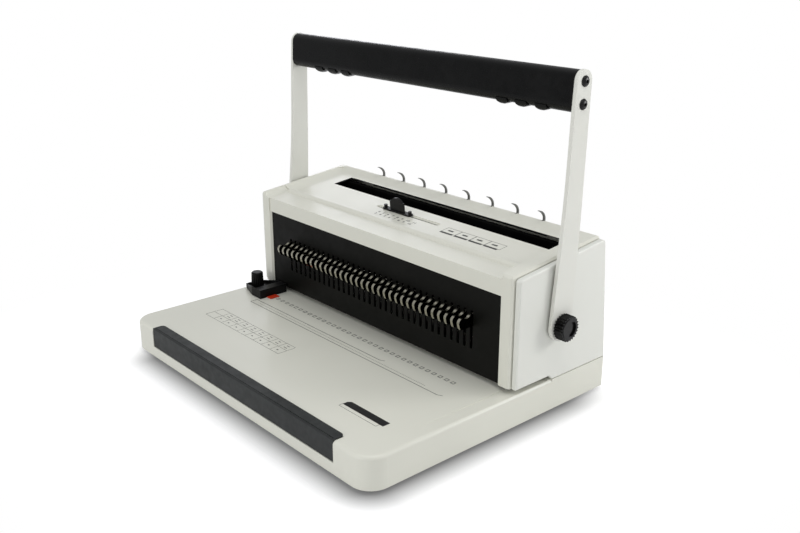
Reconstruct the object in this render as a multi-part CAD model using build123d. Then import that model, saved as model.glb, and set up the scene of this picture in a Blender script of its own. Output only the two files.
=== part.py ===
from build123d import *
import math
import os

# Wire binding machine: a low base with a chip drawer, a punch under the housing, a wire closer in its top
# and one U-shaped handle that works both. Millimetres, +Z up, +X to the right, the operator stands at -Y.
# Heights are taken from the bottom of the base; saving lifts everything by the height of the feet.

# Hole pattern
hole_count = 34
hole_pitch = 25.4 / 3
hole_side = 4.0
row_half = hole_pitch * (hole_count - 1) / 2

# Clearances
seat_gap = 0.2
body_gap = 0.3
drive_gap = 0.1
run_gap = 0.05
pin_gap = 0.1

# Widths, each worked out from the row of holes
column_radius = 5.0
column_x = row_half + 8.3
ram_half_x = column_x + 8.0
finger_arm_x = ram_half_x + 3.0
finger_cam_x = finger_arm_x + 2.0
finger_column_x = finger_arm_x + 13.5
frame_inner_x = finger_column_x + 5.5
frame_thick = 3.0
shell_half_x = frame_inner_x + 11.0
cover_depth = 6.0
cover_outer_x = shell_half_x + cover_depth
base_half_x = cover_outer_x
arm_inner_x = cover_outer_x + 2.2
tray_half_x = row_half + 6.8
strip_half_x = tray_half_x + 4.5

# Base
base_front_y = -147.2
deck_z = 30.4
base_wall = 2.4
front_corner = 20.0
rear_corner = 1.6
deck_round = 3.6
deck_step = 0.5
deck_step_x = 15.0
foot_height = 4.0
foot_radius = 9.0
plate_thick = 1.5
plate_z = 0.5
screw_radius = 1.6

# Housing
top_slope = 0.115
slope_y0 = 20.0
rim_z0 = 139.8
recess_z0 = 134.8
bead_y = 47.0
bead_radius = 4.6
bead_rise = 3.0
cover_z0 = 137.2
shell_wall = 2.3
front_y = 18.15
rim_inner_x = shell_half_x - 12.6
band_step = 1.1
cover_front_y = front_y + 3.4
rear_y_low = 147.0
rear_y_top = 136.4
base_rear_y = rear_y_low + seat_gap
cover_skin = 2.4
throat = 4.6
skirt_z = deck_z + throat
skirt_end_y = 66.0
clear_z = 200.0

# Slotted panel and fingers
panel_y = front_y + 2.45
panel_thick = 1.2
panel_half_x = rim_inner_x - 2.0
panel_z_top = 119.1
panel_lap = 2.6
slot_width = 3.6
slot_z_low = 57.2
slot_z_top = 95.0
finger_width = 2.9
finger_top_z = 91.6
finger_bar_y = panel_y + panel_thick + 2.4
finger_bar_thick = 4.2

# Handle
pivot_y = 72.0
pivot_z = 84.5
handle_angle = 75.0
shaft_radius = 7.0
stud_radius = 4.0
arm_thick = 3.7
arm_low_radius = 13.7
arm_top_radius = 9.4
arm_top_y = 82.9
arm_top_z = 299.3
grip_lean = 2.5
grip_depth = 18.4
grip_height = 35.6
grip_flat = 0.8
grip_drop = 8.9
grip_screw_radius = 2.2
grip_screw_depth = 12.0
ridge_pitch = 22.6
ridge_left_x = -153.4
ridge_right_x = 115.1
knob_radius = 12.1
knob_length = 9.0
knob_ribs = 24
knob_rib_depth = 1.8

# Mechanism
cam_hub = 10.0
cam_width = 6.0
ram_ratio = 6.9
closer_ratio = 8.0
closer_cam_x = 101.0
ram_cam_x = 120.0
finger_ratio = 16.0
pin_y = 36.0
die_thick = 8.4
die_y_low = pin_y - 7.6
die_y_high = 60.0
guide_thick = 9.8
ram_thick = 10.0
ram_y_low = pin_y - 5.0
column_y = 54.0
finger_column_y = 40.0
finger_column_radius = 3.0
plate_y_low = die_y_low - 1.4
plate_y_high = rear_y_low - 16.0
tie_radius = 4.0

# Top opening and closer
open_x_low = -152.0
open_x_high = 166.0
open_y_low = 91.6
open_y_high = 117.4
jaw_y = open_y_low + 1.5
jaw_thick = 6.0
jaw_z_low = 112.0
guide_rod_radius = 3.0
guide_rod_z = jaw_z_low + 5.0

# Wire hooks along the rear edge
hook_count = 8
hook_thick = 1.8
hook_width = 2.0
hook_y = rear_y_top - shell_wall - hook_thick - 0.6

# Chip drawer
tray_z_low = 12.4
tray_height = 8.8
tray_wall = 1.5
tray_y_back = 61.0
strip_low_z = 11.0
strip_depth = 12.8
strip_lap = 2.0

# Size slider and edge guide
slider_y = 73.5
slider_x = -21.0
slider_travel_low = 9.0
slider_travel_high = 37.5
slider_half = 21.0
guide_knob_x = -180.0
guide_travel = 5.0
guide_knob_radius = 7.0
guide_knob_ribs = 18
guide_knob_rib_depth = 0.7
guide_stud_radius = 2.5
guide_right_x = guide_knob_x + 31.7
guide_length = 41.0
guide_height = 9.8

half_angle = math.radians(handle_angle)
closer_travel = closer_ratio * half_angle
guide_z_low = deck_z + throat
guide_z_high = guide_z_low + guide_thick
ram_z_top = pivot_z - cam_hub - drive_gap
ram_z_low = ram_z_top - ram_thick
anvil_y = jaw_y + jaw_thick + closer_travel + 2.5


def save(node, shape):
    """Lifts a finished sub-part onto its feet, over the middle of the base, and writes it."""
    os.makedirs("parts", exist_ok=True)
    lifted = Pos(0, -(base_front_y + base_rear_y) / 2, foot_height) * shape
    export_step(lifted, "parts/" + node + ".step")


def block(x0, x1, y0, y1, z0, z1):
    """A box from its six limits."""
    centre = Pos((x0 + x1) / 2, (y0 + y1) / 2, (z0 + z1) / 2)
    return centre * Box(x1 - x0, y1 - y0, z1 - z0)


def side_profile(points, x0, x1):
    """A closed outline in the YZ plane, drawn out along X."""
    face = make_face(Polyline(*points, close=True))
    return extrude(Plane.YZ.offset(x0) * face, amount=x1 - x0)


def rod_x(y, z, radius, x0, x1):
    """A round bar along X."""
    return extrude(Plane.YZ.offset(x0) * Pos(y, z) * Circle(radius), amount=x1 - x0)


def rod_y(x, z, radius, y0, y1):
    """A round bar along Y."""
    turned = Rot(-90, 0, 0) * Cylinder(radius, y1 - y0)
    return Pos(x, (y0 + y1) / 2, z) * turned


def rod_z(x, y, radius, z0, z1):
    """A round bar along Z."""
    return Pos(x, y, (z0 + z1) / 2) * Cylinder(radius, z1 - z0)


def hole_x():
    """The X of every hole, slot and finger."""
    return [hole_pitch * i - row_half for i in range(hole_count)]


def slope(z0, y):
    """Height of a plane of the sloped top at a depth."""
    return z0 + top_slope * (y - slope_y0)


def ceiling(y):
    """Underside of the sunk part of the top."""
    return slope(recess_z0 - shell_wall, y)


def sided(shape):
    """A piece and its mirror image on the left, as two solids."""
    return Compound([shape, mirror(shape, about=Plane.YZ)])


def ring_spring(x, y, z0, z1, radius, wire, turns):
    """A coil spring of square wire standing on z0."""
    rise = z1 - z0 - wire
    path = Pos(x, y, z0 + wire / 2) * Helix(rise / turns, rise, radius)
    start = path @ 0
    plane = Plane(start, x_dir=(0, 0, 1), z_dir=path % 0)
    return sweep(plane * Rectangle(wire, wire), path=path, is_frenet=True)


# Base: hollow body, plate, feet, posts and screws
def post_places():
    xs = (26.5 - base_half_x, base_half_x - 26.5)
    return [(x, y) for x in xs for y in (base_front_y + 27.2, base_rear_y - 9.2)]


def foot_places():
    xs = (34.8 - base_half_x, base_half_x - 34.8)
    return [(x, y) for x in xs for y in (base_front_y + 37.2, base_rear_y - 35.2)]


def rounded_plan(inset, z0, z1):
    """The plan of the base, large corners in front and small ones behind, drawn upwards."""
    half = base_half_x - inset
    body = block(-half, half, base_front_y + inset, base_rear_y - inset, z0, z1)
    uprights = body.edges().filter_by(Axis.Z).sort_by(Axis.Y)
    body = fillet(uprights[:2], front_corner - inset)
    uprights = body.edges().filter_by(Axis.Z).sort_by(Axis.Y)
    return fillet(uprights[-2:], max(rear_corner - inset, 1.0))


def make_base_shell():
    upright = rounded_plan(0, 0, deck_z)
    body = fillet(upright.faces().sort_by(Axis.Z)[-1].edges(), deck_round)
    # The top edge stays square where the housing stands on it
    foot_y = skirt_end_y + throat
    body += upright & block(-300, 300, foot_y, base_rear_y + 10, deck_z - 8, deck_z + 1)
    body -= rounded_plan(base_wall, -1, deck_z - base_wall)
    post_low = plate_z + plate_thick + 0.1
    body += [rod_z(x, y, screw_radius + 3.4, post_low, deck_z - 1) for x, y in post_places()]
    body -= [rod_z(x, y, screw_radius, 0, 16) for x, y in post_places()]
    # The deck steps down by a hair along the right side; the step runs out towards the front
    step = side_profile([(front_y, deck_z - deck_step), (-95.0, deck_z), (-95.0, deck_z + 1),
                         (skirt_end_y, deck_z + 1), (skirt_end_y, deck_z - deck_step)], 0, deck_step_x)
    body -= Pos(base_half_x - deck_step_x, 0, 0) * step
    # Seat of the drawer front, cut through the front wall for the tray
    lip = strip_half_x + body_gap
    seat_y = base_front_y + strip_depth - strip_lap + body_gap
    body -= block(-lip, lip, base_front_y - 1, seat_y, strip_low_z - body_gap, deck_z + 1)
    # Wells for the die block and the frame plates
    plate_x = frame_inner_x + frame_thick + seat_gap
    well_z = 5.0
    body -= block(-plate_x, plate_x, die_y_low - seat_gap, die_y_high + seat_gap, well_z, deck_z + 1)
    for side in (-1, 1):
        x0, x1 = sorted((side * (frame_inner_x - seat_gap), side * plate_x))
        body -= block(x0, x1, plate_y_low - 1, plate_y_high + 3, well_z, deck_z + 1)
    # Slot for the stud of the edge guide
    reach = guide_stud_radius + guide_travel + 0.7
    body -= block(guide_knob_x - reach, guide_knob_x + reach, -2.6, 2.6, deck_z - 10, deck_z + 1)
    return body


def make_base_plate():
    plate = rounded_plan(base_wall + body_gap, plate_z, plate_z + plate_thick)
    return plate - [rod_z(x, y, screw_radius + 0.2, -1, 5) for x, y in post_places()]


def make_feet():
    feet = []
    for x, y in foot_places():
        foot = rod_z(x, y, foot_radius, -foot_height, plate_z)
        feet.append(fillet(foot.edges().sort_by(Axis.Z)[0], 1.2))
    return Compound(feet)


def make_base_screws():
    screws = []
    for x, y in post_places():
        screw = rod_z(x, y, screw_radius, plate_z, 12)
        screws.append(screw + rod_z(x, y, 3.4, plate_z - 1.7, plate_z))
    return Compound(screws)


# Chip drawer: open tray, front strip, and the rails it runs on
def make_chip_tray():
    front = base_front_y + base_wall + 1.2
    top = tray_z_low + tray_height
    tray = block(-tray_half_x, tray_half_x, front, tray_y_back, tray_z_low, top)
    inner_x = tray_half_x - tray_wall
    tray -= block(-inner_x, inner_x, front + 2.0, tray_y_back - tray_wall, tray_z_low + tray_wall, top + 1)
    return tray


def make_drawer_front():
    face_y = base_front_y + 0.6
    back_y = base_front_y + strip_depth
    inner_y = back_y - strip_lap
    top = deck_z + 1.0
    strip = block(-strip_half_x, strip_half_x, face_y, face_y + 3.0, strip_low_z, top)
    strip += block(-strip_half_x, strip_half_x, face_y, inner_y, deck_z - 1.8, top)
    strip += block(-strip_half_x, strip_half_x, inner_y - 1, back_y, deck_z + body_gap, top)
    corners = strip.edges().filter_by(Axis.Z).sort_by(Axis.Y)[-2:]
    strip = fillet(corners, 4.0)
    strip = fillet(strip.edges().filter_by(Axis.X).group_by(Axis.Z)[-1].sort_by(Axis.Y)[0], 1.2)
    # Fine groove along the bend of the strip
    strip -= block(-strip_half_x - 1, strip_half_x - 1.6, face_y + 1.7, face_y + 2.4, deck_z, top + 1)
    return strip


def make_tray_rails():
    x0 = tray_half_x
    front = base_front_y + base_wall
    floor = plate_z + plate_thick
    rail = block(x0 - 5, x0 + 3, front + 4, tray_y_back + 4, floor, tray_z_low - seat_gap)
    rail += block(x0 + 0.5, x0 + 3, front + 14, tray_y_back + 4, tray_z_low - 1, tray_z_low + 7)
    return sided(rail)


# Frame of the mechanism: two plates, die, pin guide, columns and tie bars
def tie_places():
    return [(pivot_y + 40.0, pivot_z - 34.5), (pivot_y + 52.0, pivot_z + 15.5),
            (pivot_y - 36.0, pivot_z + 27.5)]


def make_frame_plate():
    low = plate_z + plate_thick + seat_gap
    bend = plate_y_high - 13.0
    outline = [(plate_y_low, low), (plate_y_high, low), (plate_y_high, ceiling(plate_y_high) - 17),
               (bend, ceiling(bend) - 5), (pivot_y + 18, ceiling(pivot_y + 18) - 6),
               (plate_y_low, ceiling(plate_y_low) - 11)]
    plate = side_profile(outline, frame_inner_x, frame_inner_x + frame_thick)
    plate -= rod_x(pivot_y, pivot_z, shaft_radius + 3.0, frame_inner_x - 1, frame_inner_x + 5)
    return plate


def make_shaft_bush():
    x0 = frame_inner_x - 4
    x1 = frame_inner_x + frame_thick + 3
    bush = rod_x(pivot_y, pivot_z, shaft_radius + 3.0, frame_inner_x, x1)
    bush += rod_x(pivot_y, pivot_z, shaft_radius + 5.0, x0, frame_inner_x)
    return sided(bush - rod_x(pivot_y, pivot_z, shaft_radius + run_gap, x0 - 1, x1 + 1))


def make_tie_bars():
    return Compound([rod_x(y, z, tie_radius, -frame_inner_x, frame_inner_x) for y, z in tie_places()])


def make_frame_screws():
    x0 = frame_inner_x + frame_thick
    places = tie_places()
    places += [(finger_column_y, guide_z_low + guide_thick / 2), (anvil_y + jaw_thick / 2, jaw_z_low + 16)]
    return Compound([s for y, z in places for s in sided(rod_x(y, z, 3.6, x0, x0 + 2.6)).solids()])


def pin_row(side, z0, z1):
    """One square bar in every hole of the punch."""
    return [block(x - side / 2, x + side / 2, pin_y - side / 2, pin_y + side / 2, z0, z1) for x in hole_x()]


def make_die_block():
    die = block(-frame_inner_x, frame_inner_x, die_y_low, die_y_high, deck_z - die_thick, deck_z)
    return die - pin_row(hole_side + 2 * pin_gap, deck_z - die_thick - 1, deck_z + 1)


def make_pin_guide():
    guide = block(-frame_inner_x, frame_inner_x, die_y_low, die_y_high, guide_z_low, guide_z_high)
    guide -= pin_row(hole_side + 2 * pin_gap, guide_z_low - 1, guide_z_high + 1)
    return guide


def make_throat_blocks():
    """Spacers that set the height of the paper throat and stop the sheets."""
    side = block(ram_half_x - 3.0, frame_inner_x, die_y_low, die_y_high, deck_z, guide_z_low)
    back = block(36.0 - ram_half_x, ram_half_x - 36.0, pin_y + 6.0, die_y_high, deck_z, guide_z_low)
    return Compound([side, mirror(side, about=Plane.YZ), back])


def make_guide_columns():
    tall = rod_z(column_x, column_y, column_radius, guide_z_high, ram_z_top + 18)
    short = rod_z(finger_column_x, finger_column_y, finger_column_radius, guide_z_high, pivot_z + 14)
    return Compound(sided(tall).solids() + sided(short).solids())


def make_return_springs():
    return sided(ring_spring(column_x, column_y, guide_z_high, ram_z_low, column_radius + 2.2, 2.0, 3))


# Ram with its punch pins
def make_ram_bar():
    bar = block(-ram_half_x, ram_half_x, ram_y_low, pivot_y, ram_z_low, ram_z_top)
    for side in (-1, 1):
        bar -= rod_z(side * column_x, column_y, column_radius + run_gap, ram_z_low - 1, ram_z_top + 1)
        # Notch for the nose of a closer cam
        x0, x1 = sorted((side * (closer_cam_x - 2.0), side * (closer_cam_x + cam_width + 2.0)))
        bar -= block(x0, x1, pivot_y - 6.0, pivot_y + 1, ram_z_low - 1, ram_z_top + 1)
    return bar


def make_punch_pins():
    return Compound(pin_row(hole_side, guide_z_low + 0.7, ram_z_low))


# Cams: the lift grows evenly with the turn of the shaft, so each follower keeps one ratio
def cam_face(ratio, start_deg, extra_deg):
    points = []
    steps = 7
    for i in range(steps + 1):
        turn = math.radians((handle_angle + extra_deg) * i / steps)
        angle = math.radians(start_deg) - turn
        lift = cam_hub + ratio * turn
        y = lift * math.cos(angle) + ratio * math.sin(angle)
        z = lift * math.sin(angle) - ratio * math.cos(angle)
        points.append((y, z))
    edge = Polyline(points[-1], (0, 0), points[0])
    return make_face([Spline(*points), edge]) + Circle(cam_hub)


def cam_pair(ratio, start_deg, x0):
    face = cam_face(ratio, start_deg, 4.0)
    cam = extrude(Plane.YZ.offset(x0) * Pos(pivot_y, pivot_z) * face, amount=cam_width)
    return sided(cam - rod_x(pivot_y, pivot_z, shaft_radius, x0 - 1, x0 + cam_width + 1))


# Finger bar and its fingers
def make_finger_bar():
    half = frame_inner_x - 1.0
    follower = pivot_z - cam_hub - drive_gap
    low = follower - 6.4
    back_y = finger_bar_y + finger_bar_thick
    front = block(-half, half, finger_bar_y, back_y, low, follower + 17.6)
    arm = block(finger_arm_x, half, back_y - 1, pivot_y - 10, low, follower)
    arm -= rod_z(finger_column_x, finger_column_y, finger_column_radius + run_gap, low - 1, follower + 1)
    return front + arm + mirror(arm, about=Plane.YZ)


def make_fingers():
    """Curved fingers that stand out of the slots, drawn from the panel's face and the finger's top."""
    curve = Spline((-17.4, -5.4), (-16.2, -2.2), (-13.5, -0.9), (-11.3, -1.4), (-8.8, -2.7),
                   (-6.0, -2.1), (-2.6, -0.2), (0.4, 0))
    steps = 16
    top = [curve @ (i / steps) for i in range(steps + 1)]
    root_y = finger_bar_y - panel_y
    back = [(root_y, 0), (root_y, -11.8), (-13.7, -11.9), (-15.4, -11.2), (-16.6, -8.6)]
    side = Pos(panel_y, finger_top_z) * make_face(Polyline(*top, *back, close=True))
    one = extrude(Plane.YZ.offset(-finger_width / 2) * side, amount=finger_width)
    return Compound([Pos(x, 0, 0) * one for x in hole_x()])


# Wire closer: moving jaw, fixed anvil and two guide rods
def jaw_top(y):
    return slope(recess_z0, y) - shell_wall - 1.1


def make_closer_bar():
    half = frame_inner_x - 10.0
    jaw = block(-half, half, jaw_y, jaw_y + jaw_thick, jaw_z_low, jaw_top(jaw_y))
    face_y = pivot_y + cam_hub + drive_gap
    leg_x = closer_cam_x - 3.0
    leg = block(leg_x, leg_x + 12.0, face_y, jaw_y + 1, pivot_z - 18.5, jaw_z_low + 22)
    bore = guide_rod_radius + run_gap
    jaw -= [rod_y(x, guide_rod_z, bore, jaw_y - 1, anvil_y) for x in (-row_half, row_half)]
    return jaw + leg + mirror(leg, about=Plane.YZ)


def make_anvil_bar():
    return block(-frame_inner_x, frame_inner_x, anvil_y, anvil_y + jaw_thick, jaw_z_low, jaw_top(anvil_y))


def make_closer_rods():
    return sided(rod_y(row_half, guide_rod_z, guide_rod_radius, jaw_y - 6.0, anvil_y))


# Size slider with its stepped stop under the top
def tilted(shape, y, z0):
    """Places a piece, drawn flat at the origin, on a plane of the sloped top."""
    return Pos(0, y, slope(z0, y)) * Rot(math.degrees(math.atan(top_slope)), 0, 0) * shape


def make_size_slider():
    foot = block(-slider_half, slider_half, -3.2, 3.2, 0.3, 1.9)
    foot = fillet(foot.edges().filter_by(Axis.Z), 1.5)
    stem = block(-9.0, 9.0, -1.2, 1.2, -4.4, 0.5)
    tab = extrude(Plane.XZ.offset(-1.6) * (Rectangle(19.6, 15.0) + Pos(0, 2.0) * Circle(9.8)), amount=3.2)
    tab = Pos(0, 0, 4.0) * tab
    tab &= block(-20, 20, -5, 5, 0.4, 40)
    slider = foot + stem + tab
    slider += [rod_z(x, 0, 1.9, 0.4, 5.0) for x in (-18.5, 19.0)]
    return Pos(slider_x, 0, 0) * tilted(slider, slider_y, recess_z0)


def make_slider_stop():
    stop = block(-30.0, 30.0, -7.0, 5.0, -6.9, -4.4)
    for i in range(4):
        stop -= block(-30.0 + 12.0 * i, -18.0 + 12.0 * i, -8.0, -7.0 + 1.4 * (4 - i), -10, 0)
    return Pos(slider_x, 0, 0) * tilted(stop, slider_y, recess_z0)


# Housing
def shell_side(z0, inset, low):
    """The side view of the housing; the inset draws the room inside it."""
    front = front_y + inset
    rear = rear_y_low - inset
    rear_top = rear_y_top - inset
    skirt = skirt_z + low
    foot = deck_z + seat_gap + low
    return [(front, skirt), (skirt_end_y, skirt), (skirt_end_y + throat, foot), (rear, foot),
            (rear_top, slope(z0, rear_top)), (front, slope(z0, front))]


def recess_cut():
    """Everything above the sunk part of the top, open to the front, with a ramp up to the rear edge."""
    ramp_y = open_y_high + 0.6
    ramp_end = rear_y_top - 3.4
    out_y = front_y - 6.0
    ramp = Spline((ramp_y, slope(recess_z0, ramp_y)), (ramp_end, slope(rim_z0, ramp_end) + 0.4),
                  tangents=[(1, top_slope), (1, 0.28)])
    walls = Polyline(ramp @ 1, (ramp_end + 4, clear_z), (out_y, clear_z),
                     (out_y, slope(recess_z0, out_y)), ramp @ 0)
    above = extrude(Plane.YZ.offset(-shell_half_x) * make_face([ramp, walls]), amount=2 * shell_half_x)
    left_x = 4.5 - shell_half_x
    right_x = shell_half_x - 15.5
    right = Spline((right_x, front_y + 26), (right_x + 0.2, front_y + 13), (right_x + 2.2, front_y + 4),
                   (right_x + 5.4, front_y - 4), (right_x + 8.0, front_y - 12))
    rear_y = rear_y_top - 4.0
    corner = 14.0
    turn = corner * (1 - math.sin(math.radians(45)))
    side_y = rear_y - corner
    rear = [Line((left_x, front_y - 12), (left_x, side_y)),
            ThreePointArc((left_x, side_y), (left_x + turn, rear_y - turn), (left_x + corner, rear_y)),
            Line((left_x + corner, rear_y), (right_x - corner, rear_y)),
            ThreePointArc((right_x - corner, rear_y), (right_x - turn, rear_y - turn), (right_x, side_y)),
            Line((right_x, side_y), right @ 0)]
    plan = make_face([*rear, right, Line(right @ 1, rear[0] @ 0)])
    sunk = above & (Pos(0, 0, 110) * extrude(plan, amount=90))
    sunk -= left_bank(left_x, 16.0, bead_y, rear_y_top)
    return sunk - left_bank(left_x, 7.5, out_y - 8, bead_y + 0.1)


def left_bank(left_x, width, y0, y1):
    """Soft bank between the left edge of the top and its sunk floor."""
    depth = rim_z0 - recess_z0
    bank = Spline((left_x - 0.5, depth + 0.2), (left_x + 0.47 * width, 0.3 * depth),
                  (left_x + width, -0.02))
    under = Polyline(bank @ 1, (left_x + width, -20), (left_x - 4, -20), (left_x - 4, depth + 0.2),
                     bank @ 0)
    solid = extrude(Plane.XZ * make_face([bank, under]), amount=y0 - y1)
    return tilted(solid, y0, recess_z0)


def make_centre_shell():
    outer = side_profile(shell_side(rim_z0, 0, 0), -shell_half_x, shell_half_x)
    top_rear = (0, rear_y_top, slope(rim_z0, rear_y_top))
    top_front = (0, front_y, slope(rim_z0, front_y))
    outer = fillet(outer.edges().filter_by(Axis.X).sort_by_distance(top_rear)[0], 4.4)
    outer = fillet(outer.edges().filter_by(Axis.X).sort_by_distance(top_front)[0], 3.0)
    end_edges = outer.faces().filter_by(Axis.X).edges()
    rims = end_edges.filter_by(lambda e: e.center().Z > rim_z0 - 4 and e.length > 60)
    outer = chamfer(rims, 1.8)
    inner_x = shell_half_x - shell_wall
    shell = outer - side_profile(shell_side(recess_z0 - shell_wall, shell_wall, -8.0), -inner_x, inner_x)
    shell -= recess_cut()
    # Front band set back between the rims, and the window for the panel with its tapered edge
    band_y = front_y + band_step
    shell -= block(-rim_inner_x, rim_inner_x, front_y - 5, band_y, panel_z_top - 0.5, clear_z)
    taper = Polyline((-rim_inner_x, front_y), (-panel_half_x, panel_y), (panel_half_x, panel_y),
                     (rim_inner_x, front_y), (rim_inner_x, front_y - 5), (-rim_inner_x, front_y - 5),
                     close=True)
    shell -= Pos(0, 0, skirt_z - 1) * extrude(make_face(taper), amount=panel_z_top - skirt_z + 1)
    lap_x = panel_half_x + panel_lap + seat_gap
    lap_z = panel_z_top + panel_lap + seat_gap
    shell -= block(-lap_x, lap_x, panel_y - 0.05, panel_y + 3, skirt_z - 1, lap_z)
    # Bead across the sunk part
    half_round = Circle(bead_radius) & Pos(0, 5) * Rectangle(12, 10)
    bead = extrude(Plane.YZ * half_round, amount=shell_half_x - 14.5, both=True)
    shell += tilted(Pos(-0.5, 0, bead_rise - bead_radius) * bead, bead_y, recess_z0)
    # Openings in the top and round the shaft
    shell -= block(open_x_low, open_x_high, open_y_low, open_y_high, jaw_z_low, clear_z)
    thin_edge = block(open_x_low, open_x_high, -1, 5, -6, -0.9)
    shell -= tilted(thin_edge, open_y_high, recess_z0)
    groove_x0 = slider_x - slider_half - slider_travel_low - 2.0
    groove_x1 = slider_x + slider_half + slider_travel_high + 1.0
    shell -= block(groove_x0, groove_x1, slider_y - 1.5, slider_y + 1.5, jaw_z_low, clear_z)
    channel = extrude(SlotOverall(groove_x1 - groove_x0 + 4, 5.6), amount=3)
    channel = tilted(Pos(0, 0.9, -0.7) * channel, slider_y, recess_z0)
    shell -= Pos((groove_x0 + groove_x1) / 2, 0, 0) * channel
    shell -= rod_x(pivot_y, pivot_z, shaft_radius + 4.0, -200, 200)
    slot_half = hook_width / 2 + 0.5
    slot_y = hook_y - body_gap
    slot = block(-slot_half, slot_half, slot_y, hook_y + hook_thick + body_gap, jaw_z_low, clear_z)
    slot += block(-slot_half, slot_half, slot_y, hook_y + 4.2, slope(rim_z0, hook_y) - 6.0, clear_z)
    shell -= [Pos(x, 0, 0) * slot for x in hook_x()]
    return shell


def make_slotted_panel():
    half = panel_half_x + panel_lap
    panel = block(-half, half, panel_y, panel_y + panel_thick, skirt_z, panel_z_top + panel_lap)
    slot_z = (slot_z_low + slot_z_top) / 2
    one = Plane.XZ.offset(-panel_y - 5) * Rot(0, 0, 90) * SlotOverall(slot_z_top - slot_z_low, slot_width)
    cutter = Pos(0, 0, slot_z) * extrude(one, amount=10)
    return panel - [Pos(x, 0, 0) * cutter for x in hole_x()]


def make_side_cover():
    def top(y):
        return slope(cover_z0, y)

    front = cover_front_y
    outline = [(front, skirt_z), (skirt_end_y, skirt_z), (skirt_end_y + throat, deck_z + seat_gap),
               (rear_y_low, deck_z + seat_gap), (rear_y_top, top(rear_y_top)), (front, top(front))]
    inner = shell_half_x + 0.9
    cover = side_profile(outline, inner, cover_outer_x)
    long_edges = cover.edges().filter_by(Axis.X)
    cover = fillet(long_edges.sort_by_distance((inner, front, top(front)))[0], 3.0)
    long_edges = cover.edges().filter_by(Axis.X)
    cover = fillet(long_edges.sort_by_distance((inner, rear_y_top, top(rear_y_top)))[0], 4.0)
    cover = fillet(cover.faces().sort_by(Axis.X)[-1].edges(), 1.4)
    room = [(front + 4, skirt_z + 4), (skirt_end_y - 2, skirt_z + 4), (skirt_end_y + throat, deck_z + 4),
            (rear_y_low - 6.5, deck_z + 4), (rear_y_top - 5, top(rear_y_top - 5) - 4.5),
            (front + 4, top(front) - 4)]
    cover -= side_profile(room, inner - 1, cover_outer_x - cover_skin)
    # Bosses by which the cover stands off the housing
    for y, z in ((front + 10, skirt_z + 12), (front + 10, top(front) - 14), (rear_y_top - 14, deck_z + 14),
                 (rear_y_top - 14, top(rear_y_top) - 18)):
        cover += rod_x(y, z, 4.0, shell_half_x + seat_gap, cover_outer_x - 1)
    cover -= rod_x(pivot_y, pivot_z, shaft_radius + 2.0, shell_half_x, cover_outer_x + 1)
    return cover


# Wire hooks along the rear edge, and the rail they stand on
def hook_x():
    return [4 * hole_pitch * i - row_half + 3 * hole_pitch for i in range(hook_count)]


def make_rear_hooks():
    """Thin pointed hooks that rise out of the rear edge and lean forward over the top."""
    foot_z = ceiling(hook_y) - 2.0
    base_z = slope(rim_z0, hook_y)
    y0, y1 = hook_y, hook_y + hook_thick
    front = Spline((y0, base_z - 5.0), (y0 + 1.7, base_z - 0.5), (y0 + 1.8, base_z + 3.5),
                   (y0 - 0.8, base_z + 7.4), (y0 - 6.2, base_z + 10.7))
    rear = Spline((y0 - 6.0, base_z + 11.0), (y0 + 0.4, base_z + 8.6), (y0 + 3.4, base_z + 4.2),
                  (y0 + 3.8, base_z - 0.5), (y1, base_z - 5.0))
    root = Polyline(rear @ 1, (y1, foot_z), (y0, foot_z), front @ 0)
    face = make_face([front, Line(front @ 1, rear @ 0), rear, root])
    one = extrude(Plane.YZ.offset(-hook_width / 2) * face, amount=hook_width)
    return Compound([Pos(x, 0, 0) * one for x in hook_x()])


def make_hook_rail():
    z1 = ceiling(hook_y) - 2.0
    half = hook_x()[0] - 10.0
    return block(half, hook_x()[-1] + 10.0, hook_y - 5.0, hook_y + hook_thick, z1 - 3.0, z1)


# Handle: shaft, arms, grip and screws
def make_handle_shaft():
    end = arm_inner_x
    shaft = rod_x(pivot_y, pivot_z, shaft_radius, -end, end)
    stud_end = arm_inner_x + arm_thick + knob_length - 3.0
    shaft += rod_x(pivot_y, pivot_z, stud_radius, -stud_end, stud_end)
    return shaft


def arm_outline():
    """Front and rear edge of an arm, upwards and downwards, from the pivot to the round top."""
    low = arm_low_radius
    front = [(0.15 - low, 3.5), (-11.3, 27.5), (-6.7, 72.5), (-2.8, 120.5), (-0.4, 177.5)]
    rear = [(19.3, 177.5), (17.8, 114.5), (16.2, 65.5), (14.6, 27.5), (low, 1.5)]
    front = [(pivot_y + y, pivot_z + z) for y, z in front]
    rear = [(pivot_y + y, pivot_z + z) for y, z in rear]
    front.append((arm_top_y - arm_top_radius, arm_top_z))
    rear.insert(0, (arm_top_y + arm_top_radius, arm_top_z))
    return front, rear


def make_arm():
    front, rear = arm_outline()
    face = make_face([Spline(*front), Line(front[-1], rear[0]), Spline(*rear), Line(rear[-1], front[0])])
    face += Pos(pivot_y, pivot_z) * Circle(arm_low_radius)
    face += Pos(arm_top_y, arm_top_z) * Circle(arm_top_radius)
    arm = extrude(Plane.YZ.offset(arm_inner_x) * face, amount=arm_thick)
    arm -= rod_x(pivot_y, pivot_z, stud_radius, arm_inner_x - 1, arm_inner_x + 10)
    x0, x1 = arm_inner_x - 1, arm_inner_x + 10
    return arm - [rod_x(y, z, grip_screw_radius, x0, x1) for y, z in screw_places()]


def screw_places():
    return [(arm_top_y + 0.4, arm_top_z - 0.3), (arm_top_y - 0.5, arm_top_z - 19.3)]


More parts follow.
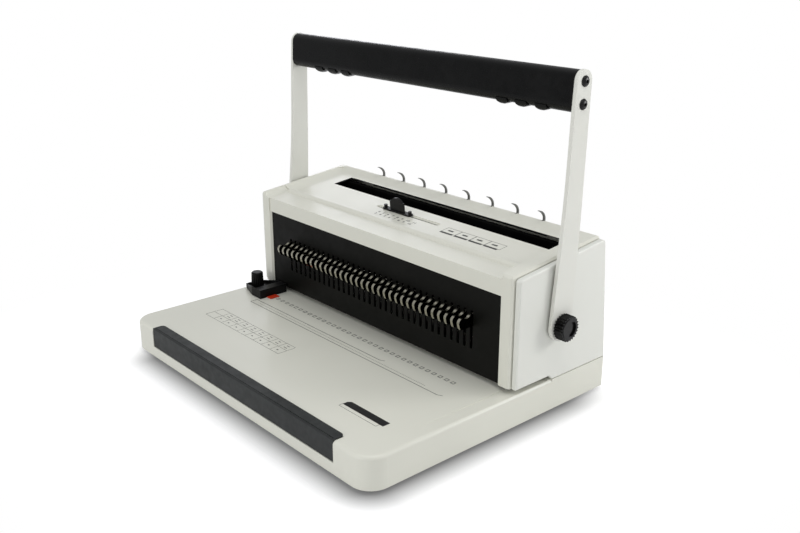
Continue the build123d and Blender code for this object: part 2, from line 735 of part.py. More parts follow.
def make_grip():
    place = Pos(arm_top_y - 1.2, arm_top_z - grip_drop) * Rot(0, 0, -grip_lean)
    oval = RectangleRounded(grip_depth, grip_height, grip_depth / 2 - grip_flat)
    grip = extrude(Plane.YZ.offset(-arm_inner_x) * place * oval, amount=2 * arm_inner_x)
    # Three finger ridges under each end, steep on the left and gentle on the right
    low_z = arm_top_z - grip_drop - grip_height / 2
    ridge_plan = Polyline((-4.0, 4.0), (-4.0, 0.4), (-1.2, -2.5), (1.2, -2.5), (9.0, 0.2), (9.0, 4.0),
                          close=True)
    ridges = []
    for first in (ridge_left_x, ridge_right_x):
        for i in range(3):
            ridge = Plane.XZ.offset(-140) * make_face(ridge_plan)
            ridges.append(Pos(first + ridge_pitch * i, 0, low_z) * extrude(ridge, amount=140))
    narrow = grip_depth - 1.2
    oval = RectangleRounded(narrow, grip_height, narrow / 2 - grip_flat)
    lowered = Plane.YZ.offset(1 - arm_inner_x) * Pos(0, -2.5) * place * oval
    lowered = extrude(lowered, amount=2 * arm_inner_x - 2)
    grip += [ridge & lowered for ridge in ridges]
    for side in (-1, 1):
        x0, x1 = sorted((side * (arm_inner_x - grip_screw_depth - 0.3), side * (arm_inner_x + 1)))
        grip -= [rod_x(y, z, grip_screw_radius, x0, x1) for y, z in screw_places()]
    return grip


def make_grip_screws():
    dome = ThreePointArc((0.4, 4.75), (1.7, 3.5), (2.3, 1.4))
    reach = grip_screw_depth + arm_thick
    stem = Polyline((2.3, 1.4), (1.2, 1.4), (1.2, 0), (-reach, 0), (-reach, grip_screw_radius),
                    (0, grip_screw_radius), (0, 4.75), (0.4, 4.75))
    one = revolve(make_face([dome, stem]), axis=Axis.X)
    outer = arm_inner_x + arm_thick
    return Compound([s for y, z in screw_places() for s in sided(Pos(outer, y, z) * one).solids()])


def ribbed_circle(radius, depth, ribs):
    """The points of a circle with ribs, every second one sunk by the depth."""
    points = []
    for i in range(2 * ribs):
        reach = radius if i % 2 else radius - depth
        angle = math.pi * i / ribs
        points.append((reach * math.cos(angle), reach * math.sin(angle)))
    return points


def make_pivot_knob():
    """Ribbed thumb nut with a curved recess in its face."""
    x0 = arm_inner_x + arm_thick + 0.5
    x1 = x0 + knob_length
    points = ribbed_circle(knob_radius, knob_rib_depth, knob_ribs)
    knob = side_profile([(pivot_y + y, pivot_z + z) for y, z in points], x0, x1)
    knob += rod_x(pivot_y, pivot_z, knob_radius - 2.4, x1 - 1.0, x1 + 0.5)
    knob -= rod_x(pivot_y, pivot_z, stud_radius + run_gap, x0 - 1, x1 - 3.0)
    arc = Circle(7.8) - Pos(-4.0, 1.4) * Circle(6.8)
    arc &= Rot(0, 0, -12) * Pos(7, 0) * Rectangle(14, 13.5)
    return knob - extrude(Plane.YZ.offset(x1 - 1.6) * Pos(pivot_y, pivot_z) * arc, amount=4)


# Edge guide with its stud, nut, knob and pointer
def make_edge_guide():
    """Block with a thin rimmed wing over the deck, sunk round the knob."""
    z0 = deck_z + body_gap
    right = guide_right_x
    left = right - guide_length
    top = z0 + guide_height
    plan = [(right, -17.5), (right, front_y - 1.0), (right - 14, front_y - 1.0), (left, 11.0), (left, -9.5),
            (right - 17.0, -17.2)]
    outline = make_face(Polyline(*plan, close=True))
    body = Pos(0, 0, z0) * extrude(outline, amount=guide_height)
    wing_z = z0 + 5.4
    slant = [(left - 20, wing_z), (left + 4, wing_z), (right - 15, top), (right - 15, top + 10),
             (left - 20, top + 10)]
    body -= extrude(Plane.XZ.offset(-60) * make_face(Polyline(*slant, close=True)), amount=120)
    # Sunk floor inside the rim, in the plan of the block
    well = offset(outline, -1.6, kind=Kind.INTERSECTION) & (Pos(right - 31, 0) * Rectangle(40, 60))
    body -= Pos(0, 0, z0 + 3.4) * extrude(well, amount=20)
    # Room under the wing
    body -= block(left - 1, guide_knob_x - guide_knob_radius - 1.5, -40, 40, z0 - 1, z0 + 1.6)
    body -= rod_z(guide_knob_x, 0, guide_stud_radius + 0.1, z0 - 1, z0 + 20)
    return body


def make_guide_stud():
    stud = rod_z(guide_knob_x, 0, guide_stud_radius, deck_z - 4.4, deck_z + 12)
    x0 = guide_knob_x - 5.5
    return stud + block(x0, x0 + 11, -6.5, 6.5, deck_z - 6.2, deck_z - base_wall - body_gap)


def make_guide_knob():
    z0 = deck_z + 2 * body_gap + 3.4
    height = 16.0
    points = ribbed_circle(guide_knob_radius, guide_knob_rib_depth, guide_knob_ribs)
    ribbed = extrude(make_face(Polyline(*points, close=True)), amount=height)
    turned = Cone(guide_knob_radius + 0.1, guide_knob_radius - 0.5, height)
    turned = chamfer(turned.edges().sort_by(Axis.Z)[-1], 1.0)
    knob = Pos(guide_knob_x, 0, z0) * (ribbed & Pos(0, 0, height / 2) * turned)
    return knob - rod_z(guide_knob_x, 0, guide_stud_radius + run_gap, z0 - 1, z0 + 10)


def make_red_pointer():
    z0 = deck_z + body_gap
    return block(guide_right_x, guide_right_x + 7.6, -9.0, 2.6, z0, z0 + 0.8)


def write_parts():
    save("base_shell", make_base_shell())
    save("base_plate", make_base_plate())
    save("feet", make_feet())
    save("base_screws", make_base_screws())
    save("chip_tray", make_chip_tray())
    save("drawer_front", make_drawer_front())
    save("tray_rails", make_tray_rails())
    plate = make_frame_plate()
    save("frame_plate_right", plate)
    save("frame_plate_left", mirror(plate, about=Plane.YZ))
    save("shaft_bushes", make_shaft_bush())
    save("tie_bars", make_tie_bars())
    save("frame_screws", make_frame_screws())
    save("die_block", make_die_block())
    save("pin_guide", make_pin_guide())
    save("throat_blocks", make_throat_blocks())
    save("guide_columns", make_guide_columns())
    save("return_springs", make_return_springs())
    save("ram_bar", make_ram_bar())
    save("punch_pins", make_punch_pins())
    save("ram_cams", cam_pair(ram_ratio, -90.0, ram_cam_x))
    save("closer_cams", cam_pair(closer_ratio, 0.0, closer_cam_x))
    save("finger_cams", cam_pair(finger_ratio, -90.0, finger_cam_x))
    save("finger_bar", make_finger_bar())
    save("fingers", make_fingers())
    save("closer_bar", make_closer_bar())
    save("anvil_bar", make_anvil_bar())
    save("closer_rods", make_closer_rods())
    save("size_slider", make_size_slider())
    save("slider_stop", make_slider_stop())
    save("centre_shell", make_centre_shell())
    save("slotted_panel", make_slotted_panel())
    cover = make_side_cover()
    save("side_cover_right", cover)
    save("side_cover_left", mirror(cover, about=Plane.YZ))
    save("rear_hooks", make_rear_hooks())
    save("hook_rail", make_hook_rail())
    save("handle_shaft", make_handle_shaft())
    arm = make_arm()
    save("handle_arm_right", arm)
    save("handle_arm_left", mirror(arm, about=Plane.YZ))
    save("grip", make_grip())
    save("grip_screws", make_grip_screws())
    knob = make_pivot_knob()
    save("pivot_knob_right", knob)
    save("pivot_knob_left", mirror(knob, about=Plane.YZ))
    save("edge_guide", make_edge_guide())
    save("guide_stud", make_guide_stud())
    save("guide_knob", make_guide_knob())
    save("red_pointer", make_red_pointer())


write_parts()
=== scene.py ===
import bpy
import math
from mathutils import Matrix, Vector


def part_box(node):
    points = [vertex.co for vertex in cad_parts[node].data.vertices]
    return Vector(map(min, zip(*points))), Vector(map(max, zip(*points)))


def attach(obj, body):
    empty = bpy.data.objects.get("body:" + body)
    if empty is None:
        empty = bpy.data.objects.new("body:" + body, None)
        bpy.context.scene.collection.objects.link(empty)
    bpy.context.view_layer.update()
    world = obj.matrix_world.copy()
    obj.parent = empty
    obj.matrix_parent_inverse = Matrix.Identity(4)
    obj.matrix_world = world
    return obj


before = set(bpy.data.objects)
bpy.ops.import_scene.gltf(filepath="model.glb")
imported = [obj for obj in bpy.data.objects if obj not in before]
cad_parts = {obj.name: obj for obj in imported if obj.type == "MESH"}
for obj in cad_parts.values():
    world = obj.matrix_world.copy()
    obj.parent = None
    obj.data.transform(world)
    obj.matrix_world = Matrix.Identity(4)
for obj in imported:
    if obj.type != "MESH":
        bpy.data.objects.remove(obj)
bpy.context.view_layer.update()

# Camera. The machine is seen from its front right, a little from above, from just under a metre away.
# The lens and the place come from the row of slots and the corners of the base in the photograph.
camera_data = bpy.data.cameras.new("camera")
camera_data.sensor_width = 36.0
camera_data.lens = 42.616
camera_data.clip_start = 0.05
camera_data.clip_end = 60.0
camera = bpy.data.objects.new("camera", camera_data)
bpy.context.collection.objects.link(camera)
camera.location = (0.6874, -0.5478, 0.4181)
camera_aim = Vector((0.0007, 0.0573, 0.0950))
camera.rotation_euler = (camera_aim - camera.location).to_track_quat("-Z", "Y").to_euler()
bpy.context.scene.camera = camera
bpy.context.scene.view_settings.view_transform = "Standard"

# Studio floor. A wide pale sheet, plain white further off, with a painted soft shadow that hugs the front
# and the right side of the base and fades within a few centimetres.
base_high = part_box("base_shell")[1]
shadow_round = 0.020
shadow_start, shadow_reach = -0.012, 0.036
shadow_depth = 0.86
white_start, white_full = 0.06, 0.22
bpy.ops.object.select_all(action="DESELECT")
bpy.ops.mesh.primitive_circle_add(vertices=96, radius=25.0, fill_type="NGON", location=(0, 0, 0))
studio_floor = bpy.context.active_object
studio_floor.name = "studio_floor"
floor_look = bpy.data.materials.new("studio_floor")
floor_look.use_nodes = True
floor_tree = floor_look.node_tree
floor_tree.nodes.clear()


def floor_math(operation, first, second=0.0, clamp=False):
    """One sum of the floor's shading, from sockets or plain values."""
    node = floor_tree.nodes.new("ShaderNodeMath")
    node.operation = operation
    node.use_clamp = clamp
    for socket, value in zip(node.inputs, (first, second)):
        if isinstance(value, float):
            socket.default_value = value
        else:
            floor_tree.links.new(value, socket)
    return node.outputs[0]


def floor_smooth(value, low, high, first, second):
    """A soft step between two values."""
    node = floor_tree.nodes.new("ShaderNodeMapRange")
    node.interpolation_type = "SMOOTHSTEP"
    node.inputs["From Min"].default_value = low
    node.inputs["From Max"].default_value = high
    node.inputs["To Min"].default_value = first
    node.inputs["To Max"].default_value = second
    floor_tree.links.new(value, node.inputs["Value"])
    return node.outputs["Result"]


floor_place = floor_tree.nodes.new("ShaderNodeTexCoord")
floor_axes = floor_tree.nodes.new("ShaderNodeSeparateXYZ")
floor_tree.links.new(floor_place.outputs["Object"], floor_axes.inputs[0])


def past_edge(axis, half):
    """The square of how far a point of the floor lies past an edge of the base, less its round corner."""
    along = floor_math("SUBTRACT", floor_math("ABSOLUTE", floor_axes.outputs[axis]), half - shadow_round)
    past = floor_math("MAXIMUM", along, 0.0)
    return floor_math("MULTIPLY", past, past)


def floor_mix(factor, first, second):
    """A blend of two surfaces."""
    node = floor_tree.nodes.new("ShaderNodeMixShader")
    for socket, source in zip(node.inputs, (factor, first, second)):
        floor_tree.links.new(source, socket)
    return node.outputs[0]


def floor_glow(grey, strength):
    """Light that the floor gives off by itself."""
    node = floor_tree.nodes.new("ShaderNodeEmission")
    node.inputs["Color"].default_value = (grey, grey, grey, 1)
    node.inputs["Strength"].default_value = strength
    return node.outputs[0]


past_both = floor_math("ADD", past_edge("X", float(base_high[0])), past_edge("Y", float(base_high[1])))
outside = floor_math("SUBTRACT", floor_math("SQRT", past_both), shadow_round)
# Painted shadow: the floor darkens by its distance from the base's outline, not by any lamp.
shade = floor_smooth(outside, shadow_start, shadow_reach, shadow_depth, 0.0)
left_end = floor_smooth(floor_axes.outputs["X"], -0.190, -0.150, 0.0, 1.0)
rear_end = floor_smooth(floor_axes.outputs["Y"], 0.09, 0.17, 1.0, 0.0)
shade = floor_math("MULTIPLY", floor_math("MULTIPLY", shade, left_end), rear_end)
floor_light = floor_math("SUBTRACT", 1.0, shade, True)
floor_far = floor_smooth(outside, white_start, white_full, 0.0, 1.0)
floor_sheet = floor_tree.nodes.new("ShaderNodeBsdfDiffuse")
floor_sheet.inputs["Color"].default_value = (0.86, 0.86, 0.86, 1)
floor_near = floor_tree.nodes.new("ShaderNodeAddShader")
floor_tree.links.new(floor_sheet.outputs[0], floor_near.inputs[0])
floor_tree.links.new(floor_glow(1.0, 0.42), floor_near.inputs[1])
# Near the base the floor mixes towards a faint dark glow, which is the painted shadow's colour.
floor_seen = floor_mix(floor_light, floor_glow(0.05, 1.0), floor_near.outputs[0])
floor_seen = floor_mix(floor_far, floor_seen, floor_glow(1.0, 1.0))
floor_path = floor_tree.nodes.new("ShaderNodeLightPath")
floor_seen = floor_mix(floor_path.outputs["Is Camera Ray"], floor_sheet.outputs[0], floor_seen)
floor_out = floor_tree.nodes.new("ShaderNodeOutputMaterial")
floor_tree.links.new(floor_seen, floor_out.inputs["Surface"])
studio_floor.data.materials.append(floor_look)

# Studio light. An even white surround does most of the work. A low soft lamp stands behind on the right, a
# wide one hangs high above, one close above the top and one low in front. One behind on the left gives the
# flat tops their soft sheen.
surround = bpy.data.worlds.new("surround")
bpy.context.scene.world = surround
surround.use_nodes = True
surround_tree = surround.node_tree
surround_tree.nodes.clear()
surround_out = surround_tree.nodes.new("ShaderNodeOutputWorld")
surround_fill = surround_tree.nodes.new("ShaderNodeBackground")
surround_fill.inputs["Color"].default_value = (0.97, 0.98, 1.0, 1)
surround_fill.inputs["Strength"].default_value = 0.56
surround_seen = surround_tree.nodes.new("ShaderNodeBackground")
surround_seen.inputs["Color"].default_value = (1, 1, 1, 1)
surround_seen.inputs["Strength"].default_value = 1.0
surround_mix = surround_tree.nodes.new("ShaderNodeMixShader")
surround_path = surround_tree.nodes.new("ShaderNodeLightPath")
surround_sharp = surround_tree.nodes.new("ShaderNodeMath")
surround_sharp.operation = "MAXIMUM"
surround_tree.links.new(surround_path.outputs["Is Camera Ray"], surround_sharp.inputs[0])
surround_tree.links.new(surround_path.outputs["Is Transmission Ray"], surround_sharp.inputs[1])
surround_tree.links.new(surround_sharp.outputs[0], surround_mix.inputs[0])
surround_tree.links.new(surround_fill.outputs[0], surround_mix.inputs[1])
surround_tree.links.new(surround_seen.outputs[0], surround_mix.inputs[2])
surround_tree.links.new(surround_mix.outputs[0], surround_out.inputs["Surface"])


def soft_lamp(name, place, width, power, tint=(1, 1, 1)):
    """A square lamp that faces the machine."""
    data = bpy.data.lights.new(name, "AREA")
    data.shape = "SQUARE"
    data.size = width
    data.energy = power
    data.color = tint
    lamp = bpy.data.objects.new(name, data)
    bpy.context.collection.objects.link(lamp)
    lamp.location = place
    lamp.rotation_euler = (lamp_aim - Vector(place)).to_track_quat("-Z", "Y").to_euler()


lamp_aim = Vector((0, 0, 0.1))
soft_lamp("lamp_right", (0.75, 0.72, 0.42), 0.32, 3.0)
soft_lamp("lamp_high", (-0.3, -0.1, 2.2), 1.6, 3.0)
soft_lamp("lamp_above", (0.3, 0.0, 1.1), 0.7, 2.7)
soft_lamp("lamp_front", (-0.1, -1.5, 0.5), 0.7, 5.0)
soft_lamp("lamp_behind", (-1.27, 1.0, 0.56), 0.5, 1.9, (0.93, 0.94, 1.0))


# Base. A low pressed housing in smooth warm white stove enamel, with a flat deck for the sheets.
# The enamel has a faint orange peel, tiny changes of tone and duller patches where hands rest.
def new_look(name):
    """A material with its main shader and the place of the surface on the machine."""
    look = bpy.data.materials.new(name)
    look.use_nodes = True
    tree = look.node_tree
    shader = tree.nodes["Principled BSDF"]
    place = tree.nodes.new("ShaderNodeTexCoord")
    return look, tree, shader, place


def noise(tree, place, scale, detail=3.0, stretch=(1, 1, 1)):
    """Noise fixed to the machine, finer along the axes that are stretched."""
    mapping = tree.nodes.new("ShaderNodeMapping")
    mapping.inputs["Scale"].default_value = stretch
    tree.links.new(place.outputs["Object"], mapping.inputs["Vector"])
    grain = tree.nodes.new("ShaderNodeTexNoise")
    grain.inputs["Scale"].default_value = scale
    grain.inputs["Detail"].default_value = detail
    tree.links.new(mapping.outputs["Vector"], grain.inputs["Vector"])
    return grain.outputs["Fac"]


def spread(tree, value, low, high):
    """Turns noise into a value between two limits."""
    span = tree.nodes.new("ShaderNodeMapRange")
    span.inputs["From Min"].default_value = 0.3
    span.inputs["From Max"].default_value = 0.7
    span.inputs["To Min"].default_value = low
    span.inputs["To Max"].default_value = high
    tree.links.new(value, span.inputs["Value"])
    return span.outputs["Result"]


def tones(tree, value, first, second):
    """A colour that drifts between two tones."""
    ramp = tree.nodes.new("ShaderNodeValToRGB")
    ramp.color_ramp.elements[0].position = 0.3
    ramp.color_ramp.elements[1].position = 0.7
    ramp.color_ramp.elements[0].color = (*first, 1)
    ramp.color_ramp.elements[1].color = (*second, 1)
    tree.links.new(value, ramp.inputs["Fac"])
    return ramp.outputs["Color"]


def bumps(tree, shader, value, depth, strength):
    """Raises the surface by a height in metres."""
    bump = tree.nodes.new("ShaderNodeBump")
    bump.inputs["Distance"].default_value = depth
    bump.inputs["Strength"].default_value = strength
    tree.links.new(value, bump.inputs["Height"])
    tree.links.new(bump.outputs["Normal"], shader.inputs["Normal"])


def enamel(name, tone):
    """Stove enamel on sheet metal."""
    look, tree, shader, place = new_look(name)
    rough = 0.34
    dull = tuple(c * 0.965 for c in tone)
    drift = noise(tree, place, 9.0)
    wear = noise(tree, place, 38.0)
    peel = noise(tree, place, 900.0, 2.0)
    tree.links.new(tones(tree, drift, dull, tone), shader.inputs["Base Color"])
    tree.links.new(spread(tree, wear, rough - 0.05, rough + 0.07), shader.inputs["Roughness"])
    bumps(tree, shader, peel, 0.00004, 0.35)
    shader.inputs["Coat Weight"].default_value = 0.12
    shader.inputs["Coat Roughness"].default_value = 0.25
    return look


def dress(look, *nodes):
    """Gives CAD nodes a look."""
    for name in nodes:
        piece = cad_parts[name]
        piece.data.materials.clear()
        piece.data.materials.append(look)


warm_white = (0.733, 0.731, 0.648)
dress(enamel("base_enamel", warm_white), "base_shell")


# Base plate, rails, frame, punch and screws. Plain rolled, ground or turned steel with fine lines along its
# length. The two bushes that carry the handle's shaft are bronze.
def steel(name, tone, rough=0.34, stretch=(1, 14, 14), depth=0.00003):
    """Steel with fine lines along one axis."""
    look, tree, shader, place = new_look(name)
    shader.inputs["Metallic"].default_value = 1.0
    dull = tuple(c * 0.86 for c in tone)
    lines = noise(tree, place, 60.0, 4.0, stretch)
    tree.links.new(tones(tree, lines, dull, tone), shader.inputs["Base Color"])
    tree.links.new(spread(tree, lines, rough - 0.06, rough + 0.1), shader.inputs["Roughness"])
    bumps(tree, shader, lines, depth, 0.4)
    return look


rolled = steel("rolled_steel", (0.56, 0.56, 0.55))
dress(rolled, "base_plate", "tray_rails", "frame_plate_right", "frame_plate_left")
dress(steel("ground_steel", (0.50, 0.50, 0.50), rough=0.28), "die_block", "pin_guide", "throat_blocks",
      "ram_bar")
dress(steel("bright_steel", (0.66, 0.66, 0.65), rough=0.20, stretch=(14, 14, 1)), "guide_columns",
      "punch_pins", "return_springs")
dress(steel("turned_steel", (0.62, 0.62, 0.61), rough=0.24, stretch=(14, 1, 1)), "tie_bars", "handle_shaft",
      "closer_rods", "guide_stud")
dress(steel("cam_steel", (0.40, 0.40, 0.40), rough=0.38), "ram_cams", "closer_cams", "finger_cams")
dress(steel("screw_steel", (0.55, 0.55, 0.54), rough=0.32), "base_screws", "frame_screws")
dress(steel("bush_bronze", (0.70, 0.50, 0.24)), "shaft_bushes")


# Feet. Four round rubber feet with the matt grain of moulded rubber.
def moulded(name, tone, rough=0.42, grain=700.0, depth=0.00006, speckle=0.7, gloss=0.3):
    """Moulded plastic or rubber with a fine spark grain."""
    look, tree, shader, place = new_look(name)
    pale = tuple(c * (1 + 0.35 * speckle) + 0.002 for c in tone)
    cloud = noise(tree, place, 24.0)
    wear = noise(tree, place, 130.0)
    spark = noise(tree, place, grain, 2.0)
    tree.links.new(tones(tree, cloud, tone, pale), shader.inputs["Base Color"])
    tree.links.new(spread(tree, wear, rough - 0.06, rough + 0.1), shader.inputs["Roughness"])
    bumps(tree, shader, spark, depth, 0.5)
    shader.inputs["Specular IOR Level"].default_value = gloss
    return look


dress(moulded("foot_rubber", (0.018, 0.018, 0.018), rough=0.75, grain=500.0), "feet")

# Chip drawer. A black moulded tray that catches the punched chips, and the strip that closes its front.
dress(moulded("tray_plastic", (0.020, 0.020, 0.020), rough=0.5), "chip_tray")
dress(moulded("strip_plastic", (0.016, 0.018, 0.018), rough=0.45), "drawer_front")


# Housing. The same warm white enamel on the centre shell and the two side covers. Inside the long
# opening for the wires the shell's steep walls get painted shade, near black.
def gate(tree, value, shut, full):
    """Nought at one value, one at the other, and between them a ramp."""
    span = tree.nodes.new("ShaderNodeMapRange")
    span.inputs["From Min"].default_value = shut
    span.inputs["From Max"].default_value = full
    tree.links.new(value, span.inputs["Value"])
    return span.outputs["Result"]


def paint_over(look, gates, tone):
    """Mixes a second tone into a look where all the gates are open."""
    tree = look.node_tree
    shader = tree.nodes["Principled BSDF"]
    opened = gates[0]
    for value in gates[1:]:
        product = tree.nodes.new("ShaderNodeMath")
        product.operation = "MULTIPLY"
        tree.links.new(opened, product.inputs[0])
        tree.links.new(value, product.inputs[1])
        opened = product.outputs[0]
    mix = tree.nodes.new("ShaderNodeMix")
    mix.data_type = "RGBA"
    tree.links.new(opened, mix.inputs["Factor"])
    tree.links.new(shader.inputs["Base Color"].links[0].from_socket, mix.inputs[6])
    mix.inputs[7].default_value = (*tone, 1)
    tree.links.new(mix.outputs[2], shader.inputs["Base Color"])


def axes(tree, output):
    """The three parts of the place on the machine or of the way a face looks."""
    source = tree.nodes.new("ShaderNodeTexCoord")
    parts = tree.nodes.new("ShaderNodeSeparateXYZ")
    tree.links.new(source.outputs[output], parts.inputs[0])
    return parts.outputs


shell_look = enamel("shell_enamel", warm_white)
shell_tree = shell_look.node_tree
shell_place = axes(shell_tree, "Object")
shell_face = axes(shell_tree, "Normal")
opening_left, opening_right = (-0.1545, -0.1538), (0.1685, 0.1678)
opening_front, opening_rear = (0.0900, 0.0907), (0.1300, 0.1290)
steep = (0.65, 0.55)
opening_shade_gates = (gate(shell_tree, shell_place["X"], *opening_left),
                 gate(shell_tree, shell_place["X"], *opening_right),
                 gate(shell_tree, shell_place["Y"], *opening_front),
                 gate(shell_tree, shell_place["Y"], *opening_rear),
                 gate(shell_tree, shell_face["Z"], *steep))
# Painted shade: the shell turns near black on its steep faces inside the wire opening.
paint_over(shell_look, opening_shade_gates, (0.003, 0.003, 0.003))
dress(shell_look, "centre_shell")
dress(enamel("cover_enamel", (0.75, 0.755, 0.70)), "side_cover_right", "side_cover_left")

# Front panel and inner bars. Black satin lacquer over sheet steel.
dress(moulded("panel_lacquer", (0.0028, 0.0028, 0.0021), rough=0.40, grain=900.0, depth=0.00002,
              speckle=0.4, gloss=0.09), "slotted_panel")
dress(moulded("bar_lacquer", (0.0015, 0.0015, 0.0015), rough=0.6, depth=0.00002, speckle=0.4, gloss=0.02),
      "finger_bar", "closer_bar", "anvil_bar", "hook_rail")

# Fingers and rear hooks. The fingers are stamped plates with a thin warm nickel shine, and their flat
# sides get a painted dark reflection, near black. The hooks are dark bent wire.
finger_look = steel("finger_nickel", (0.44, 0.42, 0.34), rough=0.16, stretch=(1, 3, 3), depth=0.000006)
finger_tree = finger_look.node_tree
finger_side = finger_tree.nodes.new("ShaderNodeMath")
finger_side.operation = "ABSOLUTE"
finger_tree.links.new(axes(finger_tree, "Normal")["X"], finger_side.inputs[0])
side_shade_gate = gate(finger_tree, finger_side.outputs[0], 0.35, 0.75)
# Painted dark reflection: faces turned to the sides are mixed to near black.
paint_over(finger_look, (side_shade_gate,), (0.012, 0.012, 0.008))
dress(finger_look, "fingers")
dress(steel("hook_steel", (0.16, 0.16, 0.15), rough=0.42), "rear_hooks")

# Handle. Flat enamelled arms, a grip of black moulded plastic fixed by black dome screws, and ribbed plastic
# knobs on the ends of the shaft.
dress(enamel("arm_enamel", (0.74, 0.74, 0.68)), "handle_arm_right", "handle_arm_left")
dress(moulded("grip_plastic", (0.0010, 0.0011, 0.0011), rough=0.28, grain=500.0, depth=0.00002,
              speckle=0.5, gloss=0.14), "grip")
dress(moulded("screw_black", (0.004, 0.004, 0.004), rough=0.25, depth=0.00003, speckle=0.5), "grip_screws")
dress(moulded("knob_plastic", (0.0035, 0.0035, 0.0035), rough=0.32, depth=0.00003, speckle=0.5),
      "pivot_knob_right", "pivot_knob_left")

# Size slider and edge guide. Black moulded plastic, and a small red pointer.
dress(moulded("slider_plastic", (0.004, 0.004, 0.004), rough=0.38, depth=0.00004, speckle=0.5, gloss=0.2),
      "size_slider", "slider_stop")
dress(moulded("guide_plastic", (0.0035, 0.0035, 0.0035), rough=0.40, depth=0.00004, speckle=0.5,
              gloss=0.15), "edge_guide", "guide_knob")
dress(moulded("pointer_red", (0.55, 0.035, 0.010), rough=0.35), "red_pointer")

# Prints on the deck. Thin faded ink: a row of small squares along the holes, two ruled lines with a dotted
# one between them, and a ruled table. Each is a sheet inset or drawn out in edit mode.
ink_look, ink_tree, ink_shader, ink_place = new_look("deck_ink")
ink_tones = tones(ink_tree, noise(ink_tree, ink_place, 160.0), (0.020, 0.021, 0.018), (0.045, 0.045, 0.040))
ink_wear = spread(ink_tree, noise(ink_tree, ink_place, 60.0), 0.45, 0.6)
ink_tree.links.new(ink_tones, ink_shader.inputs["Base Color"])
ink_tree.links.new(ink_wear, ink_shader.inputs["Roughness"])
ink_gap = 0.00004
ink_thick = 0.00006
deck_print = float(base_high[2]) + ink_gap


def ink_sheet(name, x0, x1, y0, y1, z):
    """A flat sheet of ink, left open in edit mode with its face selected."""
    bpy.ops.object.select_all(action="DESELECT")
    bpy.ops.mesh.primitive_plane_add(size=1.0, location=((x0 + x1) / 2, (y0 + y1) / 2, z))
    sheet = bpy.context.active_object
    sheet.name = name
    sheet.scale = (x1 - x0, y1 - y0, 1)
    bpy.ops.object.transform_apply(location=False, rotation=False, scale=True)
    bpy.ops.object.mode_set(mode="EDIT")
    bpy.ops.mesh.select_all(action="SELECT")
    return sheet


def ink_done(sheet, look=None):
    """Gives the sheet its thickness, puts its place in its mesh and lets it ride on the machine."""
    bpy.ops.mesh.select_all(action="SELECT")
    bpy.ops.mesh.extrude_region_move(TRANSFORM_OT_translate={"value": (0, 0, ink_thick)})
    bpy.ops.mesh.select_all(action="SELECT")
    bpy.ops.mesh.normals_make_consistent(inside=False)
    bpy.ops.object.mode_set(mode="OBJECT")
    bpy.ops.object.transform_apply(location=True, rotation=True, scale=True)
    sheet.data.materials.append(look or ink_look)
    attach(sheet, "machine")
    return sheet


def ink_frame(name, x0, x1, y0, y1, z, line):
    """An outlined field: the sheet is inset and its middle taken out."""
    sheet = ink_sheet(name, x0, x1, y0, y1, z)
    bpy.ops.mesh.inset(thickness=line, depth=0)
    bpy.ops.mesh.delete(type="FACE")
    return sheet


def ink_rows(sheet, steps, count):
    """Repeats a print at a steady step along the machine."""
    bpy.ops.object.mode_set(mode="OBJECT")
    rows = sheet.modifiers.new("rows", "ARRAY")
    rows.use_relative_offset = False
    rows.use_constant_offset = True
    rows.constant_offset_displace = steps
    rows.count = count
    bpy.ops.object.modifier_apply(modifier="rows")
    bpy.ops.object.mode_set(mode="EDIT")
    return sheet


mark_left, mark_right, mark_front, mark_rear = -0.1381, -0.1339, -0.0041, 0.0001
mark_line = 0.00062
mark_step, mark_count = 0.00838, 34
hole_marks = ink_frame("hole_marks", mark_left, mark_right, mark_front, mark_rear, deck_print, mark_line)
ink_done(ink_rows(hole_marks, (mark_step, 0, 0), mark_count))

rule_low, rule_high, rule_start = -0.0290, -0.0205, -0.1500
rule_half = 0.00028
rule_stroke = (0.0045, 0.0024, 0)
for name, y, x_end in (("rule_outer", rule_low, 0.148), ("rule_inner", rule_high, 0.060)):
    rule = ink_sheet(name, rule_start, x_end, y - rule_half, y + rule_half, deck_print)
    # The right end turns up in a short slanted stroke
    bpy.ops.mesh.select_all(action="DESELECT")
    bpy.ops.object.mode_set(mode="OBJECT")
    for edge in rule.data.edges:
        ends = [rule.data.vertices[i].co.x for i in edge.vertices]
        edge.select = min(ends) > 0.0
    bpy.ops.object.mode_set(mode="EDIT")
    bpy.ops.mesh.select_mode(type="EDGE")
    bpy.ops.mesh.extrude_region_move(TRANSFORM_OT_translate={"value": rule_stroke})
    ink_done(rule)
dot_step, dot_count = 0.00215, 124
rule_dots = ink_sheet("rule_dots", -0.1380, -0.13685, -0.02505, -0.02460, deck_print)
ink_done(ink_rows(rule_dots, (dot_step, 0, 0), dot_count))
ink_done(ink_sheet("rule_end", rule_start - 0.0005, rule_start, rule_low, rule_high, deck_print))

table_left, table_right, table_low, table_high = -0.1510, -0.0160, -0.0850, -0.0640
table_columns = 8
table_head = 0.016
table_ink = 0.00028
table_half = 0.00014
table_step = (table_right - table_left - table_head) / table_columns
table_mid = (table_low + table_high) / 2
ink_done(ink_frame("table_edge", table_left, table_right, table_low, table_high, deck_print, table_ink))
ink_done(ink_sheet("table_rule", table_left, table_right, table_mid - table_half, table_mid + table_half,
                   deck_print))
first_line = table_left + table_head
table_lines = ink_sheet("table_lines", first_line, first_line + table_ink, table_low, table_high, deck_print)
ink_done(ink_rows(table_lines, (table_step, 0, 0), table_columns))
first_mark = first_line + 0.35 * table_step
for name, y, width, height in (("table_dots", (table_low + table_mid) / 2, 0.0022, 0.0012),
                               ("table_dashes_low", table_mid + 0.0032, 0.0052, 0.0007),
                               ("table_dashes_high", table_high - 0.0034, 0.0040, 0.0007)):
    mark = ink_sheet(name, first_mark, first_mark + width, y - height / 2, y + height / 2, deck_print)
    ink_done(ink_rows(mark, (table_step, 0, 0), table_columns))

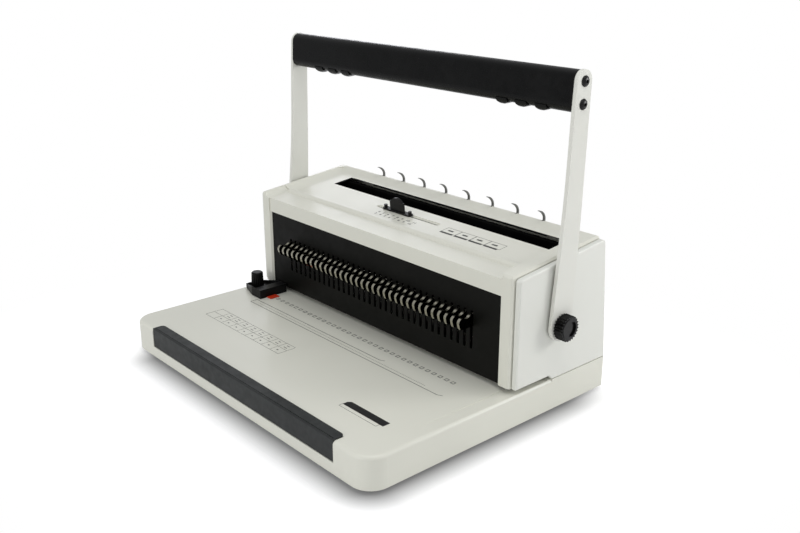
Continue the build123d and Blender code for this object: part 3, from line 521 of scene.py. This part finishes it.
# Plate on the deck. A plain dark label with one cut corner, and a narrow pale strip along its left and
# lower edges that a fine line outlines.
plate_look = moulded("plate_film", (0.012, 0.012, 0.012), rough=0.36, grain=900.0, depth=0.00001,
                     speckle=0.4, gloss=0.2)
plate_cut = 0.0028
plate = ink_sheet("deck_plate", 0.1062, 0.1596, -0.1015, -0.0935, deck_print)
bpy.ops.mesh.select_all(action="DESELECT")
bpy.ops.object.mode_set(mode="OBJECT")
for vertex in plate.data.vertices:
    vertex.select = vertex.co.x < 0.0 and vertex.co.y > 0.0
bpy.ops.object.mode_set(mode="EDIT")
bpy.ops.mesh.bevel(offset=plate_cut, segments=1, affect="VERTICES")
ink_done(plate, plate_look)
under_plate = float(base_high[2]) + ink_gap / 2
ink_done(ink_frame("plate_strip", 0.1058, 0.1554, -0.1057, -0.1005, under_plate, 0.00030))

# Prints on the top. Four outlined fields with a dark bar under each, and two rows of plain numbers that
# serve the size slider. They lie on the slope of the top.
top_slope = 0.115
top_turn = math.atan(top_slope)
top_front, top_height = 0.020, 0.1388


def lay_on_top(sheet, y):
    """Tips a finished print onto the sloped top at a given depth."""
    bpy.ops.object.select_all(action="DESELECT")
    sheet.select_set(True)
    bpy.context.view_layer.objects.active = sheet
    sheet.rotation_euler = (top_turn, 0, 0)
    sheet.location = (0, y, top_height + top_slope * (y - top_front))
    bpy.ops.object.transform_apply(location=True, rotation=True, scale=True)


field_first, field_step, field_count = 0.0530, 0.0194, 4
field_steps = (field_step, 0, 0)
bar_gap = ink_gap * 1.5
field = ink_frame("size_fields", field_first, field_first + field_step, 0.0, 0.0110, ink_gap, 0.00034)
lay_on_top(ink_done(ink_rows(field, field_steps, field_count)), 0.0640)
field_bar = ink_sheet("size_bars", field_first, field_first + 0.0170, -0.0012, 0.0014, bar_gap)
lay_on_top(ink_done(ink_rows(field_bar, field_steps, field_count)), 0.0632)
field_mark = ink_sheet("size_marks", field_first + 0.0050, field_first + 0.0118, 0.0, 0.0022, ink_gap)
lay_on_top(ink_done(ink_rows(field_mark, field_steps, field_count)), 0.0685)
number_left = -0.0400
number_size = 0.0044
number_stretch = (1.25, 1.0, 1.0)
number_space = 1.45
for name, y, numbers in (("numbers_rear", 0.0618, "4  5  6  7  8  9  10  11"),
                         ("numbers_front", 0.0570, "3  4  5  6  7  8  9  10")):
    bpy.ops.object.select_all(action="DESELECT")
    bpy.ops.object.text_add(location=(0, 0, 0))
    row = bpy.context.active_object
    row.name = name
    row.data.body = numbers
    row.data.size = number_size
    row.data.resolution_u = 2
    row.data.space_word = number_space
    row.data.extrude = ink_thick / 2
    bpy.ops.object.convert(target="MESH")
    bpy.ops.object.mode_set(mode="EDIT")
    bpy.ops.mesh.select_all(action="SELECT")
    bpy.ops.transform.resize(value=number_stretch, center_override=(0, 0, 0))
    bpy.ops.transform.translate(value=(number_left, 0, ink_gap + ink_thick / 2))
    bpy.ops.object.mode_set(mode="OBJECT")
    row.data.materials.clear()
    row.data.materials.append(ink_look)
    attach(row, "machine")
    lay_on_top(row, y)
